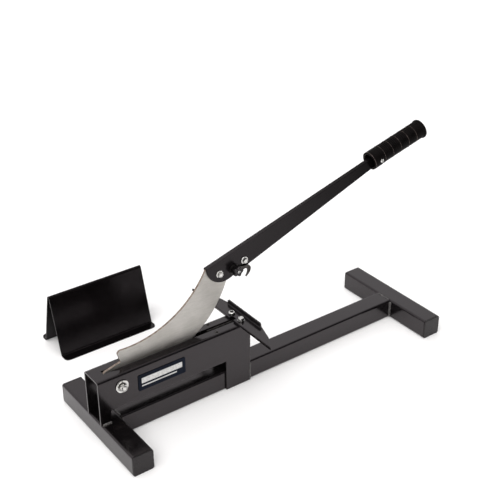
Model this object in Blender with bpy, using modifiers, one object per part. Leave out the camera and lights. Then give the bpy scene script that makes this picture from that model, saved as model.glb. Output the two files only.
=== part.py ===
"""Hand-lever guillotine for laminate and floor boards, with its loose board stand.

A curved shear blade hangs in a slotted, folded housing on a frame of square tubes. The lever,
a U-channel folded round the blade, turns with it on the pivot bolt near the front.

Frame: +Z up, +X along the spine from the front foot to the rear foot, +Y to the far side. The
origin is on the floor, under the middle of the front foot. All sizes are in metres. The arm
(blade, lever and grip) is drawn half raised, in coordinates measured from the pivot.
"""

import math

import bmesh
import bpy
from mathutils import Matrix, Vector

# Clearances
GAP = 0.0003  # between pieces that touch
RUN = 0.0002  # round a bolt in its hole, and at the sides of the blade

# Tube frame
TUBE = 0.040
TUBE_WALL = 0.002
TUBE_CORNER = 0.004
LENGTH = 0.713  # over both feet
FRONT_FOOT = 0.250  # along Y, caps included
REAR_FOOT = 0.241
CAP_RIM = 0.003
CAP_PLUG = 0.012

# Housing
SHEET = 0.003
HOUSING_TOP = 0.130
HOUSING_LENGTH = 0.3147
HOUSING_OVERHANG = 0.0014  # in front of the front foot
HOUSING_BEND = 0.005
HOUSING_LIFT = 0.001  # rear walls above the floor
LEGS = 0.0214  # length of the walls that stand on the front foot
WINDOW_HEIGHT = 0.0251
REAR_WALLS = 0.0540  # length of the walls that come down beside the spine
SLOT_WIDTH = 0.010
SLOT_CLEAR = 0.0012  # in front of the blade's boss
SLOT_REAR = 0.0210  # from the housing's rear edge

# Pivot
PIVOT_BACK = 0.0237  # behind the middle of the front foot
PIVOT_DROP = 0.0242  # below the housing top
PIVOT_RADIUS = 0.004
PIVOT_WASHER = (0.0122, 0.0016)  # radius, thickness
PIVOT_FLATS = 0.013
PIVOT_HEAD = 0.0053
PIVOT_NUT = 0.0065
PIVOT_END = 0.0015  # bolt past its nut
SPACER_RADIUS = 0.009

# Blade, from the pivot
BLADE = 0.004
BOSS_RADIUS = 0.0310
BOSS_FLAT = 128  # degrees, where the flat up to the heel leaves the boss
EDGE_ARC = (0.0577, 0.1787, 0.1858)  # centre x, z and radius of the cutting edge
BACK_ARC = (0.0289, 0.2367, 0.1822)  # of the hollow back
HEEL_X = 0.0075
HEEL_FOOT = (0.0120, 0.0322)
HEEL_CORNER = 0.006
EDGE_END_X = 0.2315
GRIND = 0.007  # width of the ground bevel
TANG_END_X = 0.2900

# Lever, from the pivot
LEVER_SHEET = 0.0023
NOSE = (0.2260, 0.1535, 0.0365)  # centre x, z and radius
WEB_SLOPE = math.radians(16.2)
WALL_SLOPE = math.radians(20.5)  # of the walls' lower edge
LEVER_END_X = 0.6600
LEVER_BEND = 0.0015
LEVER_BOLTS = ((0.2168, 0.1349), (0.2704, 0.1451))
LEVER_BOLT = 0.003
LEVER_FLATS = 0.0090
LEVER_HEAD = 0.0040
LEVER_FLANGE = (0.0071, 0.0012)
LEVER_NUT_FLATS = 0.010
LEVER_NUT = 0.0050
BOLT_END = 0.0015  # bolts past their nuts

# Latch
LATCH = (0.2476, 0.1350)
LATCH_SHEET = 0.003
LATCH_HUB = 0.0098
LATCH_BOLT = 0.003
LATCH_FLATS = 0.010
LATCH_HEAD = 0.004
HOOK_OUTER = (  # from the latch's axis, hub to tip
    (0.0075, 0.0046),
    (0.0165, 0.0012),
    (0.0285, 0.0002),
    (0.0345, -0.0060),
    (0.0330, -0.0150),
    (0.0250, -0.0232),
)
HOOK_INNER = (  # tip back to hub
    (0.0243, -0.0226),
    (0.0280, -0.0150),
    (0.0275, -0.0085),
    (0.0225, -0.0052),
    (0.0160, -0.0072),
    (0.0080, -0.0078),
)
KNOB_RADIUS = 0.0099
KNOB_LOBE = 0.0013
KNOB_LOBES = 5
KNOB_HEIGHT = 0.0115

# Grip, along its own axis
GRIP_MOUTH = (0.5640, 0.2552)  # centre of the open end, from the pivot
GRIP_TILT = math.radians(15.24)
GRIP_LENGTH = 0.137
GRIP_RADIUS = 0.0172
GRIP_FLANGE = (0.0192, 0.0040)  # radius, thickness
GRIP_MOUTH_RADIUS = 0.0135
GRIP_MOUTH_DEPTH = 0.009
GRIP_GROOVES = 5
GRIP_GROOVE = (0.0006, 0.0016)  # depth, width
GRIP_SCREW_AT = 0.017
GRIP_SCREW = 0.002
GRIP_SCREW_HEAD = (0.0040, 0.0022)

# Blade guides and fence
GUIDE_FRONT = 0.0775  # from the housing's rear edge
GUIDE_REAR = 0.0035
GUIDE_HEIGHT = 0.015
GUIDE_SCREW_BACK = 0.0675
GUIDE_SCREW_Y = 0.0145  # each side of the middle
GUIDE_SCREW = 0.0025
GUIDE_SCREW_HEAD = (0.0047, 0.0023)
FENCE_SHEET = 0.0025
FENCE_BACK = 0.0153  # bolts, from the housing's rear edge
FENCE_BOLTS_Y = (0.0130, -0.0160)
FENCE_BOLT = 0.003
FENCE_FRONT = 0.0099  # from the bolts to the guide face
FENCE_REAR = 0.0166
FENCE_RISE = 0.0050  # fence plate above the housing top
FENCE_LIP_TOP = 0.0137
FENCE_ENDS = (-0.118, 0.130)
FENCE_SHOULDERS = (-0.089, 0.101)
FENCE_LIP_ENDS = (-0.055, 0.046)
FENCE_LIP_CORNER = 0.0035
FENCE_TAPER = 0.0092
FENCE_BEND = 0.0012
FENCE_SWING = math.radians(3.0)
FENCE_NOTCH = (0.0062, 0.0068)  # half-width, depth
FENCE_WASHER = (0.0066, 0.0012)
FENCE_HEAD = 0.0050
FENCE_FLATS = 0.010
BUTTON_HEAD = (0.0060, 0.0036)
FENCE_SOCKET = 0.004

# Label plate and stand
LABEL = (0.0958, 0.0322, 0.0008)  # length, height, thickness
LABEL_FRONT = 0.0763  # from the housing's front edge
LABEL_DROP = 0.0170
STAND_SHEET = 0.002
STAND_LENGTH = 0.2040
STAND_X = 0.1440
STAND_Y = 0.2884
STAND_SPREAD = 0.0343  # half the panels' width at the floor
STAND_FLANGE = 0.0200
STAND_BEND = 0.0035
STAND_CORNER = 0.009

# Places that follow from the sizes above
HALF = TUBE / 2
REAR_FOOT_X = LENGTH - TUBE
HOUSING_FRONT_X = -HALF - HOUSING_OVERHANG
HOUSING_REAR_X = HOUSING_FRONT_X + HOUSING_LENGTH
HOUSING_INNER = HALF + GAP + 0.0001
HOUSING_HALF = HOUSING_INNER + SHEET
PIVOT = Vector((PIVOT_BACK, 0, HOUSING_TOP - PIVOT_DROP))
LEVER_HALF = BLADE / 2 + RUN + LEVER_SHEET
GUIDE_INNER = BLADE / 2 + 3 * RUN
GUIDE_TOP = HOUSING_TOP - SHEET - GAP
GUIDE_X = (HOUSING_REAR_X - GUIDE_FRONT, HOUSING_REAR_X - GUIDE_REAR)
GUIDE_SCREW_X = HOUSING_REAR_X - GUIDE_SCREW_BACK
FENCE_X = HOUSING_REAR_X - FENCE_BACK
FENCE_TOP = HOUSING_TOP + FENCE_RISE
FENCE_PLAY = (FENCE_BOLTS_Y[0] - FENCE_BOLTS_Y[1]) * math.sin(FENCE_SWING)  # swing at the clamp bolt
SLOT_FRONT_X = PIVOT_BACK - math.sqrt(BOSS_RADIUS**2 - (PIVOT_DROP - SHEET) ** 2) - SLOT_CLEAR

PLANES = {
    "XY": Matrix(((1, 0, 0), (0, 1, 0), (0, 0, 1))),
    "XZ": Matrix(((1, 0, 0), (0, 0, -1), (0, 1, 0))),
    "YZ": Matrix(((0, 0, 1), (1, 0, 0), (0, 1, 0))),
}
AXIS_OF = {"XY": Vector((0, 0, 1)), "XZ": Vector((0, 1, 0)), "YZ": Vector((1, 0, 0))}


# ---------------------------------------------------------------- scene and materials


def clear_scene():
    for obj in list(bpy.data.objects):
        bpy.data.objects.remove(obj)


def new_collection(name):
    collection = bpy.data.collections.new(name)
    bpy.context.scene.collection.children.link(collection)
    return collection


def new_material(name, colour, roughness, metallic):
    material = bpy.data.materials.new(name)
    material.use_nodes = True
    shader = material.node_tree.nodes["Principled BSDF"]
    shader.inputs["Base Color"].default_value = (*colour, 1)
    shader.inputs["Roughness"].default_value = roughness
    shader.inputs["Metallic"].default_value = metallic
    return material


def finish_piece(obj, finish):
    """Gives a piece a material of its own and smooth round faces."""
    obj.data.materials.clear()
    obj.data.materials.append(new_material(obj.name, *finish))
    obj.data.shade_smooth()
    obj.data.set_sharp_from_angle(angle=math.radians(32))
    return obj


def hide_cutter(obj):
    for collection in list(obj.users_collection):
        collection.objects.unlink(obj)
    CUTTERS.objects.link(obj)
    obj.hide_render = True
    obj.display_type = "WIRE"
    return obj


def combine(obj, other, operation):
    modifier = obj.modifiers.new(operation.lower(), "BOOLEAN")
    modifier.operation = operation
    modifier.solver = "EXACT"
    modifier.object = hide_cutter(other)
    return obj


def cut(obj, *others):
    for other in others:
        combine(obj, other, "DIFFERENCE")
    return obj


def join(obj, *others):
    for other in others:
        combine(obj, other, "UNION")
    return obj


def hang_on(empty, *pieces):
    """Parents the pieces and their cutters to the empty and leaves them where they are."""
    bpy.context.view_layer.update()
    cutters = [m.object for piece in pieces for m in piece.modifiers if m.type == "BOOLEAN"]
    for obj in (*pieces, *cutters):
        obj.parent = empty
        obj.matrix_parent_inverse = empty.matrix_world.inverted()


def new_empty(name, place):
    empty = bpy.data.objects.new(name, None)
    empty.location = place
    PIECES.objects.link(empty)
    return empty


# ---------------------------------------------------------------- outlines


def arc(centre, radius, start, end, steps):
    """Points on an arc, angles in degrees from the outline's first axis."""
    angles = [math.radians(start + (end - start) * i / steps) for i in range(steps + 1)]
    return [(centre[0] + radius * math.cos(a), centre[1] + radius * math.sin(a)) for a in angles]


def circle(centre, radius, steps=24):
    return arc(centre, radius, 0, 360, steps)[:-1]


def hexagon(centre, flats):
    return arc(centre, flats / math.sqrt(3), 0, 300, 5)


def rounded_box(low, high, radius, steps=4):
    corners = ((high[0], high[1]), (low[0], high[1]), (low[0], low[1]), (high[0], low[1]))
    points = []
    for quarter, (x, y) in enumerate(corners):
        centre = (
            x - math.copysign(radius, x - low[0] - radius),
            y - math.copysign(radius, y - low[1] - radius),
        )
        points += arc(centre, radius, 90 * quarter, 90 * (quarter + 1), steps)
    return points


def square(half, radius):
    return rounded_box((-half, -half), (half, half), radius)


def filleted(points, radius, steps=5):
    """The open line through points, with each inner corner rounded."""
    line = [Vector(points[0])]
    for before, corner, after in zip(points, points[1:], points[2:]):
        corner = Vector(corner)
        to_before = (Vector(before) - corner).normalized()
        to_after = (Vector(after) - corner).normalized()
        half = to_before.angle(to_after) / 2
        centre = corner + (to_before + to_after).normalized() * radius / math.sin(half)
        first = corner + to_before * radius / math.tan(half) - centre
        last = corner + to_after * radius / math.tan(half) - centre
        turn = first.angle_signed(last)
        for i in range(steps + 1):
            line.append(centre + Matrix.Rotation(-turn * i / steps, 2) @ first)
    line.append(Vector(points[-1]))
    return [tuple(point) for point in line]


def smooth_line(points, steps):
    """A Catmull-Rom line through the points, open at both ends."""
    ends = [Vector(p) for p in (points[0], *points, points[-1])]
    line = []
    for a, b, c, d in zip(ends, ends[1:], ends[2:], ends[3:]):
        for i in range(steps):
            t = i / steps
            line.append(
                b * (1 - 2.5 * t**2 + 1.5 * t**3)
                + a * (-0.5 * t + t**2 - 0.5 * t**3)
                + c * (0.5 * t + 2 * t**2 - 1.5 * t**3)
                + d * (-0.5 * t**2 + 0.5 * t**3)
            )
    line.append(ends[-1])
    return [tuple(point) for point in line]


def height_on_arc(arc_at, x):
    """The lower z of the arc (centre x, z, radius) at x."""
    return arc_at[1] - math.sqrt(arc_at[2] ** 2 - (x - arc_at[0]) ** 2)


def angle_on_arc(arc_at, x):
    return math.degrees(math.atan2(height_on_arc(arc_at, x) - arc_at[1], x - arc_at[0]))


def solve(function, low, high):
    """The x between low and high where function changes sign."""
    rising = function(high) > function(low)
    for _ in range(50):
        middle = (low + high) / 2
        if (function(middle) > 0) == rising:
            high = middle
        else:
            low = middle
    return (low + high) / 2


# ---------------------------------------------------------------- solids


def as_mesh(curve_obj):
    """Turns a curve object into a clean mesh object of the same name and place."""
    bpy.context.view_layer.update()
    graph = bpy.context.evaluated_depsgraph_get()
    mesh = bpy.data.meshes.new_from_object(curve_obj.evaluated_get(graph))
    name, place = curve_obj.name, curve_obj.matrix_world.copy()
    bpy.data.objects.remove(curve_obj)
    work = bmesh.new()
    work.from_mesh(mesh)
    bmesh.ops.remove_doubles(work, verts=work.verts, dist=1e-6)
    bmesh.ops.dissolve_limit(work, angle_limit=0.002, verts=work.verts, edges=work.edges)
    bmesh.ops.recalc_face_normals(work, faces=work.faces)
    work.to_mesh(mesh)
    work.free()
    mesh.name = name
    obj = bpy.data.objects.new(name, mesh)
    obj.matrix_world = place
    PIECES.objects.link(obj)
    return obj


def outline_curve(name, loops, half_depth, closed=True):
    curve = bpy.data.curves.new(name, "CURVE")
    curve.dimensions = "2D"
    curve.fill_mode = "BOTH" if closed else "NONE"
    curve.extrude = half_depth
    for loop in loops:
        spline = curve.splines.new("POLY")
        spline.points.add(len(loop) - 1)
        for point, at in zip(spline.points, loop):
            point.co = (at[0], at[1], 0, 1)
        spline.use_cyclic_u = closed
    obj = bpy.data.objects.new(name, curve)
    PIECES.objects.link(obj)
    return obj


def plate(name, plane, outline, span, holes=(), about=(0, 0, 0)):
    """A flat outline in a plane through about, given depth from span[0] to span[1]."""
    obj = outline_curve(name, [outline, *holes], (span[1] - span[0]) / 2)
    middle = Vector(about) + AXIS_OF[plane] * (span[0] + span[1]) / 2
    obj.matrix_world = Matrix.Translation(middle) @ PLANES[plane].to_4x4()
    return as_mesh(obj)


def take_new(name):
    """Names the primitive that was just added and files it with the pieces."""
    obj = bpy.context.object
    obj.name = obj.data.name = name
    for collection in list(obj.users_collection):
        collection.objects.unlink(obj)
    PIECES.objects.link(obj)
    return obj


def box(name, low, high, bevel=0.0):
    bpy.ops.mesh.primitive_cube_add(size=1)
    obj = take_new(name)
    size = Vector(high) - Vector(low)
    obj.data.transform(Matrix.Diagonal((*size, 1)))
    obj.location = (Vector(low) + Vector(high)) / 2
    if bevel:
        modifier = obj.modifiers.new("bevel", "BEVEL")
        modifier.width = bevel
        modifier.segments = 2
    return obj


def rod(name, plane, centre, radius, span, about=(0, 0, 0), steps=24):
    """A cylinder square to the plane."""
    bpy.ops.mesh.primitive_cylinder_add(vertices=steps, radius=radius, depth=span[1] - span[0])
    obj = take_new(name)
    turn = PLANES[plane].to_4x4()
    middle = Vector(about) + AXIS_OF[plane] * (span[0] + span[1]) / 2
    obj.matrix_world = Matrix.Translation(middle + turn @ Vector((*centre, 0))) @ turn
    return obj


def ring(name, plane, centre, radii, span, about=(0, 0, 0), steps=32):
    hole = circle(centre, radii[0], steps)
    return plate(name, plane, circle(centre, radii[1], steps), span, [hole], about)


def turned(name, profile, steps=32):
    """A profile of (radius, z) points, outer side downwards, turned about Z."""
    mesh = bpy.data.meshes.new(name)
    mesh.from_pydata([(r, 0, z) for r, z in profile], [(i, i + 1) for i in range(len(profile) - 1)], [])
    obj = bpy.data.objects.new(name, mesh)
    PIECES.objects.link(obj)
    screw = obj.modifiers.new("turn", "SCREW")
    screw.steps = screw.render_steps = steps
    screw.use_merge_vertices = True
    screw.merge_threshold = 0.00001
    return obj


def hex_head(name, plane, centre, flats, span, about=(0, 0, 0)):
    """A hexagonal head with its corners broken by a small bevel."""
    obj = plate(name, plane, hexagon(centre, flats), span, about=about)
    modifier = obj.modifiers.new("bevel", "BEVEL")
    modifier.width = 0.0005
    modifier.segments = 1
    return obj


def hex_bolt(name, plane, centre, radius, flats, head, shaft, about=(0, 0, 0)):
    """head and shaft are spans along the bolt, and they meet in the head."""
    bolt = hex_head(name, plane, centre, flats, head, about)
    low, high = shaft
    inside = (head[0] + head[1]) / 2
    span = (low, inside) if abs(low - inside) > abs(high - inside) else (inside, high)
    return join(bolt, rod(name + "_shaft", plane, centre, radius, span, about))


def hex_nut(name, plane, centre, radius, flats, span, about=(0, 0, 0)):
    hole = circle(centre, radius + RUN)
    return plate(name, plane, hexagon(centre, flats), span, [hole], about)


# ---------------------------------------------------------------- tube frame


def square_tube(name, plane, span, about):
    inner = square(HALF - TUBE_WALL, TUBE_CORNER - TUBE_WALL)
    return plate(name, plane, square(HALF, TUBE_CORNER), span, [inner], about)


def tube_cap(name, foot_x, end_y):
    """A plastic cap that ends at end_y: a rim as wide as the tube and a plug inside it."""
    side = math.copysign(1, end_y)
    rim_inner = end_y - side * (CAP_RIM - GAP)
    about = (foot_x, 0, HALF)
    rim = plate(name, "XZ", square(HALF, TUBE_CORNER), sorted((rim_inner, end_y)), about=about)
    modifier = rim.modifiers.new("bevel", "BEVEL")
    modifier.width = 0.0008
    modifier.segments = 2
    modifier.angle_limit = math.radians(60)
    section = square(HALF - TUBE_WALL - GAP, TUBE_CORNER - TUBE_WALL)
    span = sorted((rim_inner - side * CAP_PLUG, end_y - side * CAP_RIM / 2))
    return join(rim, plate(name + "_plug", "XZ", section, span, about=about))


def make_frame():
    pieces = []
    for label, x, length in (("front", 0, FRONT_FOOT), ("rear", REAR_FOOT_X, REAR_FOOT)):
        half = length / 2 - CAP_RIM
        tube = square_tube(label + "_foot_tube", "XZ", (-half, half), (x, 0, HALF))
        pieces.append(finish_piece(tube, PAINT))
        for side, end in (("near", -length / 2), ("far", length / 2)):
            cap = tube_cap(f"{label}_foot_cap_{side}", x, end)
            pieces.append(finish_piece(cap, BLACK_PLASTIC))
    spine_span = (HALF + GAP, REAR_FOOT_X - HALF - GAP)
    spine = square_tube("spine_tube", "YZ", spine_span, (0, 0, HALF))
    pieces.append(finish_piece(spine, PAINT))
    return pieces


# ---------------------------------------------------------------- housing


def housing_section():
    """Upside-down U in the YZ plane, bends rounded."""

    def side(half, top, bend):
        foot = (half, HOUSING_LIFT)
        return filleted([foot, (half, top), (-half, top), (-half, HOUSING_LIFT)], bend)

    outer = side(HOUSING_HALF, HOUSING_TOP, HOUSING_BEND)
    inner = side(-HOUSING_INNER, HOUSING_TOP - SHEET, HOUSING_BEND - SHEET)
    return outer + inner


def countersink(name, x, y):
    radius, depth = GUIDE_SCREW_HEAD
    profile = [
        (0, 2 * RUN),
        (radius + 3 * RUN, 2 * RUN),
        (GUIDE_SCREW + RUN, -depth - RUN),
        (GUIDE_SCREW + RUN, -2 * SHEET),
        (0, -2 * SHEET),
    ]
    cutter = turned(name, profile, 20)
    cutter.location = (x, y, HOUSING_TOP)
    return cutter


def make_housing():
    wide = HOUSING_HALF + SHEET
    housing = plate("housing", "YZ", housing_section(), (HOUSING_FRONT_X, HOUSING_REAR_X))
    window_end = HOUSING_REAR_X - REAR_WALLS
    leg_end = HOUSING_FRONT_X + LEGS
    legs_low = (HOUSING_FRONT_X - SHEET, -wide, -SHEET)
    legs = box("housing_legs_cut", legs_low, (leg_end + SHEET, wide, TUBE + GAP))
    window = box("housing_window_cut", (leg_end, -wide, -SHEET), (window_end, wide, TUBE + WINDOW_HEIGHT))
    slot = box(
        "housing_slot_cut",
        (SLOT_FRONT_X, -SLOT_WIDTH / 2, HOUSING_TOP - 2 * SHEET),
        (HOUSING_REAR_X - SLOT_REAR, SLOT_WIDTH / 2, HOUSING_TOP + SHEET),
    )
    bore = rod("housing_pivot_cut", "XZ", (0, 0), PIVOT_RADIUS + RUN, (-wide, wide), PIVOT)
    cut(housing, legs, window, slot, bore)
    for y in (-GUIDE_SCREW_Y, GUIDE_SCREW_Y):
        cut(housing, countersink("housing_countersink", GUIDE_SCREW_X, y))
    for y in FENCE_BOLTS_Y:
        span = (HOUSING_TOP - 2 * SHEET, HOUSING_TOP + SHEET)
        cut(housing, rod("housing_bolt_cut", "XY", (FENCE_X, y), FENCE_BOLT + RUN, span))
    return finish_piece(housing, PAINT)


def make_label():
    length, height, thickness = LABEL
    low = (HOUSING_FRONT_X + LABEL_FRONT, HOUSING_TOP - LABEL_DROP - height)
    outline = rounded_box(low, (low[0] + length, low[1] + height), 0.002)
    face = -HOUSING_HALF - GAP
    return finish_piece(plate("label_plate", "XZ", outline, (face - thickness, face)), LABEL_BLUE)


# ---------------------------------------------------------------- pivot


def make_pivot():
    wall = HOUSING_HALF + GAP
    washer_radius, washer = PIVOT_WASHER
    seat = wall + washer + GAP
    bore = PIVOT_RADIUS + RUN
    end = -(seat + PIVOT_NUT + PIVOT_END)
    head = (seat, seat + PIVOT_HEAD)
    bolt = hex_bolt("pivot_bolt", "XZ", (0, 0), PIVOT_RADIUS, PIVOT_FLATS, head, (end, seat), PIVOT)
    nut = hex_nut("pivot_nut", "XZ", (0, 0), PIVOT_RADIUS, PIVOT_FLATS, (-seat - PIVOT_NUT, -seat), PIVOT)
    pieces = [finish_piece(bolt, ZINC), finish_piece(nut, ZINC)]
    for label, side in (("near", -1), ("far", 1)):
        outer = sorted((side * wall, side * (wall + washer)))
        inner = sorted((side * (BLADE / 2 + GAP), side * (HOUSING_INNER - GAP)))
        flat = ring(f"pivot_washer_{label}", "XZ", (0, 0), (bore, washer_radius), outer, PIVOT)
        tube = ring(f"pivot_spacer_{label}", "XZ", (0, 0), (bore, SPACER_RADIUS), inner, PIVOT)
        pieces += [finish_piece(flat, ZINC), finish_piece(tube, STEEL)]
    return pieces


# ---------------------------------------------------------------- arm: lever, blade and grip


def web_height(x):
    """Top of the lever's web at x."""
    return NOSE[1] + math.tan(WEB_SLOPE) * (x - NOSE[0] + NOSE[2])


def wall_height(x):
    """Lower edge of the lever's walls at x, past the round nose."""
    foot = math.radians(-90) + WALL_SLOPE
    start = (NOSE[0] + NOSE[2] * math.cos(foot), NOSE[1] + NOSE[2] * math.sin(foot))
    return start[1] + math.tan(WALL_SLOPE) * (x - start[0])


def lever_outline():
    end = [(LEVER_END_X, wall_height(LEVER_END_X)), (LEVER_END_X, web_height(LEVER_END_X))]
    return arc(NOSE[:2], NOSE[2], 180, 270 + math.degrees(WALL_SLOPE), 14) + end


def channel_depth():
    """How far the web's underside lies below its top, measured upright."""
    return LEVER_SHEET / math.cos(WEB_SLOPE)


def round_web_edges(obj):
    """Rounds the two long bends where the web meets the walls."""
    work = bmesh.new()
    work.from_mesh(obj.data)
    bends = [
        edge
        for edge in work.edges
        if all(abs(v.co.y - web_height(v.co.x)) < 1e-5 for v in edge.verts) and edge.calc_length() > 0.1
    ]
    bmesh.ops.bevel(work, geom=bends, offset=LEVER_BEND, segments=3, profile=0.5, affect="EDGES")
    work.to_mesh(obj.data)
    work.free()


def make_lever():
    holes = [circle(at, LEVER_BOLT + RUN) for at in LEVER_BOLTS] + [circle(LATCH, LATCH_BOLT + RUN)]
    span = (-LEVER_HALF, LEVER_HALF)
    lever = plate("lever", "XZ", lever_outline(), span, holes, PIVOT)
    round_web_edges(lever)
    low, high = NOSE[0] - 2 * NOSE[2], LEVER_END_X + NOSE[2]
    channel = [
        (low, web_height(low) - channel_depth()),
        (low, 0),
        (high, 0),
        (high, web_height(high) - channel_depth()),
    ]
    inner = BLADE / 2 + RUN
    cut(lever, plate("lever_channel_cut", "XZ", channel, (-inner, inner), about=PIVOT))
    screw = grip_point(GRIP_SCREW_AT)
    cut(lever, rod("lever_screw_cut", "XZ", screw, GRIP_SCREW + RUN, (-2 * LEVER_HALF, 0), PIVOT, 16))
    return finish_piece(lever, PAINT)


def blade_outline():
    """Boss, cutting edge, tang inside the channel, hollow back and heel."""
    edge_start = solve(
        lambda x: math.hypot(x, height_on_arc(EDGE_ARC, x)) - BOSS_RADIUS,
        BOSS_RADIUS / 2,
        1.5 * BOSS_RADIUS,
    )
    under_web = channel_depth() + GAP
    back_end = solve(
        lambda x: height_on_arc(BACK_ARC, x) - web_height(x) + under_web,
        BACK_ARC[0] + 0.5 * BACK_ARC[2],
        BACK_ARC[0] + 0.95 * BACK_ARC[2],
    )
    edge_from, edge_to = (angle_on_arc(EDGE_ARC, x) for x in (edge_start, EDGE_END_X))
    cutting = arc(EDGE_ARC[:2], EDGE_ARC[2], edge_from, edge_to, 22)
    clear = 0.002
    tang = [
        (EDGE_END_X + clear, height_on_arc(EDGE_ARC, EDGE_END_X) + 2 * clear),
        (NOSE[0] + NOSE[2] / 2, wall_height(NOSE[0] + NOSE[2] / 2) + clear),
        (TANG_END_X, wall_height(TANG_END_X) + clear),
        (TANG_END_X, web_height(TANG_END_X) - under_web),
    ]
    heel_top = height_on_arc(BACK_ARC, HEEL_X + HEEL_CORNER)
    back_from, back_to = (angle_on_arc(BACK_ARC, x) for x in (back_end, HEEL_X + HEEL_CORNER))
    back = arc(BACK_ARC[:2], BACK_ARC[2], back_from, back_to, 20)
    heel = arc((HEEL_X + HEEL_CORNER, heel_top - HEEL_CORNER), HEEL_CORNER, 105, 180, 5)
    boss_end = 360 + math.degrees(math.atan2(cutting[0][1], cutting[0][0]))
    boss = arc((0, 0), BOSS_RADIUS, BOSS_FLAT, boss_end, 28)
    return cutting + tang + back + heel + [HEEL_FOOT] + boss[:-1]


def grind_edge(blade):
    """Moves the far side of the cutting edge back, less and less towards its ends."""
    centre, radius = Vector(EDGE_ARC[:2]), EDGE_ARC[2]
    on_edge = [
        vertex
        for vertex in blade.data.vertices
        if vertex.co.x > 0 and vertex.co.z < 0 and abs((vertex.co.xy - centre).length - radius) < GAP / 10
    ]
    low, high = min(v.co.x for v in on_edge), max(v.co.x for v in on_edge)
    for vertex in on_edge:
        from_end = min(vertex.co.x - low, high - vertex.co.x)
        width = GRIND * min(1, from_end / (2 * GRIND))
        inward = (centre - vertex.co.xy).normalized() * width
        vertex.co.xy = vertex.co.xy + inward


def make_blade():
    blade = plate("blade", "XZ", blade_outline(), (-BLADE / 2, BLADE / 2), about=PIVOT)
    grind_edge(blade)
    wide = (-BLADE, BLADE)
    cut(blade, rod("blade_pivot_cut", "XZ", (0, 0), PIVOT_RADIUS + RUN, wide, PIVOT))
    for at in LEVER_BOLTS:
        cut(blade, rod("blade_bolt_cut", "XZ", at, LEVER_BOLT + RUN, wide, PIVOT))
    cut(blade, rod("blade_stud_cut", "XZ", LATCH, LATCH_BOLT + RUN, wide, PIVOT))
    return finish_piece(blade, BLADE_STEEL)


def arm_stack():
    """Distance from the middle plane to a seat on the lever's wall."""
    return LEVER_HALF + GAP


def make_lever_bolts():
    seat = arm_stack()
    radius, thickness = LEVER_FLANGE
    pieces = []
    for label, at in zip(("front", "rear"), LEVER_BOLTS):
        head = (-seat - thickness - LEVER_HEAD, -seat - thickness / 2)
        end = seat + LEVER_NUT + BOLT_END
        name = f"lever_bolt_{label}"
        bolt = hex_bolt(name, "XZ", at, LEVER_BOLT, LEVER_FLATS, head, (-seat, end), PIVOT)
        join(bolt, rod(name + "_flange", "XZ", at, radius, (-seat - thickness, -seat), PIVOT))
        name = f"lever_nut_{label}"
        nut = hex_nut(name, "XZ", at, LEVER_BOLT, LEVER_NUT_FLATS, (seat, seat + LEVER_NUT), PIVOT)
        pieces += [finish_piece(bolt, ZINC), finish_piece(nut, ZINC)]
    return pieces


def make_latch_stud():
    seat = arm_stack()
    head = (seat, seat + LATCH_HEAD)
    end = -(seat + LATCH_SHEET + GAP + KNOB_HEIGHT + GAP)
    stud = hex_bolt("latch_stud", "XZ", LATCH, LATCH_BOLT, LATCH_FLATS, head, (end, seat), PIVOT)
    return finish_piece(stud, ZINC)


def make_latch_hook():
    """A claw on a round hub, its opening facing down."""
    x, z = LATCH
    outer = smooth_line([(x + dx, z + dz) for dx, dz in HOOK_OUTER], 5)
    inner = smooth_line([(x + dx, z + dz) for dx, dz in HOOK_INNER], 5)
    start = math.degrees(math.atan2(inner[-1][1] - z, inner[-1][0] - x))
    end = math.degrees(math.atan2(outer[0][1] - z, outer[0][0] - x)) - 360
    hub = arc(LATCH, LATCH_HUB, start - 12, end + 12, 18)
    seat = arm_stack()
    hole = circle(LATCH, LATCH_BOLT + RUN, 16)
    hook = plate("latch_hook", "XZ", outer + inner + hub, (-seat - LATCH_SHEET, -seat), [hole], PIVOT)
    return finish_piece(hook, DARK_ZINC)


def make_latch_knob():
    steps = 60
    turn = 2 * math.pi / steps
    outline = []
    for i in range(steps):
        radius = KNOB_RADIUS + KNOB_LOBE * math.cos(KNOB_LOBES * i * turn)
        outline.append((LATCH[0] + radius * math.cos(i * turn), LATCH[1] + radius * math.sin(i * turn)))
    seat = arm_stack() + LATCH_SHEET + GAP
    hole = circle(LATCH, LATCH_BOLT + RUN, 16)
    knob = plate("latch_knob", "XZ", outline, (-seat - KNOB_HEIGHT, -seat), [hole], PIVOT)
    modifier = knob.modifiers.new("bevel", "BEVEL")
    modifier.width = 0.0012
    modifier.segments = 2
    modifier.angle_limit = math.radians(60)
    return finish_piece(knob, BLACK_PLASTIC)


def grip_point(along):
    """A point on the grip's axis, from the pivot."""
    x = GRIP_MOUTH[0] + along * math.cos(GRIP_TILT)
    return x, GRIP_MOUTH[1] + along * math.sin(GRIP_TILT)


def grip_profile():
    flange_radius, flange = GRIP_FLANGE
    depth, width = GRIP_GROOVE
    profile = [
        (0, GRIP_LENGTH),
        (flange_radius - 0.0015, GRIP_LENGTH),
        (flange_radius, GRIP_LENGTH - 0.0015),
        (flange_radius, GRIP_LENGTH - flange),
        (GRIP_RADIUS + 0.0004, GRIP_LENGTH - 2 * flange),
    ]
    first = GRIP_SCREW_AT + 0.010
    pitch = (GRIP_LENGTH - 4 * flange - first) / (GRIP_GROOVES - 1)
    for i in reversed(range(GRIP_GROOVES)):
        z = first + i * pitch
        profile += [(GRIP_RADIUS, z + width / 2), (GRIP_RADIUS - depth, z), (GRIP_RADIUS, z - width / 2)]
    profile += [
        (GRIP_RADIUS, 0.0012),
        (GRIP_RADIUS - 0.0012, 0),
        (GRIP_MOUTH_RADIUS, 0),
        (GRIP_MOUTH_RADIUS, GRIP_MOUTH_DEPTH),
        (0, GRIP_MOUTH_DEPTH),
    ]
    return profile


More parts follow.
